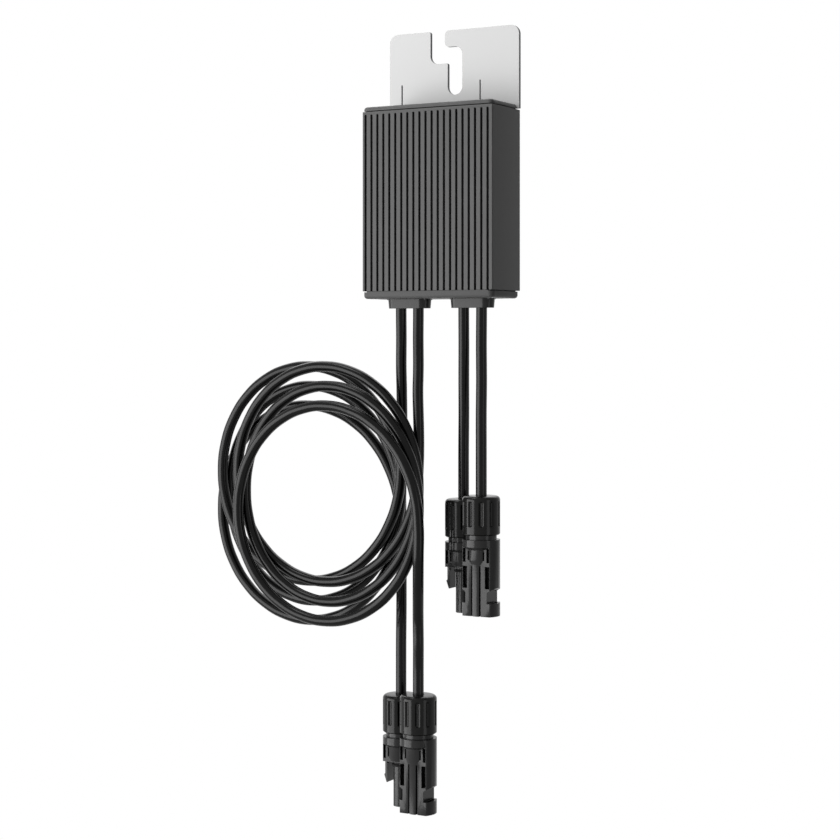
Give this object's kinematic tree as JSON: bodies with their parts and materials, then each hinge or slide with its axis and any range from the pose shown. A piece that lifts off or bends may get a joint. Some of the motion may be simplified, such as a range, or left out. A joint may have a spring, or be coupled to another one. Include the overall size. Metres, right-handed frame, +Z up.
{
  "type": "power optimizer",
  "caption": "Ribbed power optimizer housing on a slotted hanging bracket, with short input cables and coiled output cables that end in round solar connectors.",
  "frame": {"origin": "centre of the bolt seat under the hook of the bracket slot, on the back face of the bracket", "axes": "+Z up, +Y towards the rail that the bracket is bolted to, ribbed front towards -Y"},
  "size_m": [0.1868, 0.0474, 0.4024],
  "materials": {
    "painted_aluminium": "fine matt powder coat",
    "bracket_steel": "satin",
    "screw_steel": "satin",
    "seal_rubber": "matt",
    "gland_moulding": "fine moulded",
    "connector_moulding": "satin moulded",
    "cable_jacket": "semi-gloss",
    "tinned_copper": "tinned",
    "copper_wire": "enamelled wire",
    "board_laminate": "solder mask",
    "ferrite": "sintered",
    "thermal_silicone": "soft pad",
    "capacitor_sleeve": "shrink sleeve",
    "chip_moulding": "moulded"
  },
  "bodies": {
    "root": {"housing": "painted_aluminium", "top_cap": "painted_aluminium", "bottom_cap": "painted_aluminium", "top_gasket": "seal_rubber", "bottom_gasket": "seal_rubber", "top_cap_screws": "screw_steel", "bottom_cap_screws": "screw_steel", "mounting_bracket": "bracket_steel", "bracket_screws": "screw_steel", "circuit_board": "board_laminate", "board_screws": "screw_steel", "inductor_core": "ferrite", "inductor_winding": "copper_wire", "capacitors": "capacitor_sleeve", "power_transistors": "chip_moulding", "control_chip": "chip_moulding", "thermal_pad": "thermal_silicone", "cable_terminals": "tinned_copper", "input_gland": "gland_moulding", "output_gland": "gland_moulding", "input_cable_left": "cable_jacket", "input_cable_right": "cable_jacket", "output_cable_left_upper": "cable_jacket", "output_cable_left_coil": "cable_jacket", "output_cable_left_lower": "cable_jacket", "output_cable_right_upper": "cable_jacket", "output_cable_right_coil": "cable_jacket", "output_cable_right_lower": "cable_jacket", "input_plug_nut": "connector_moulding", "input_plug_body": "connector_moulding", "input_plug_seal": "seal_rubber", "input_plug_pin": "tinned_copper", "input_plug_ring": "seal_rubber", "input_socket_nut": "connector_moulding", "input_socket_body": "connector_moulding", "input_socket_seal": "seal_rubber", "input_socket_contact": "tinned_copper", "output_plug_nut": "connector_moulding", "output_plug_body": "connector_moulding", "output_plug_seal": "seal_rubber", "output_plug_pin": "tinned_copper", "output_plug_ring": "seal_rubber", "output_socket_nut": "connector_moulding", "output_socket_body": "connector_moulding", "output_socket_seal": "seal_rubber", "output_socket_contact": "tinned_copper"}
  },
  "joints": []
}
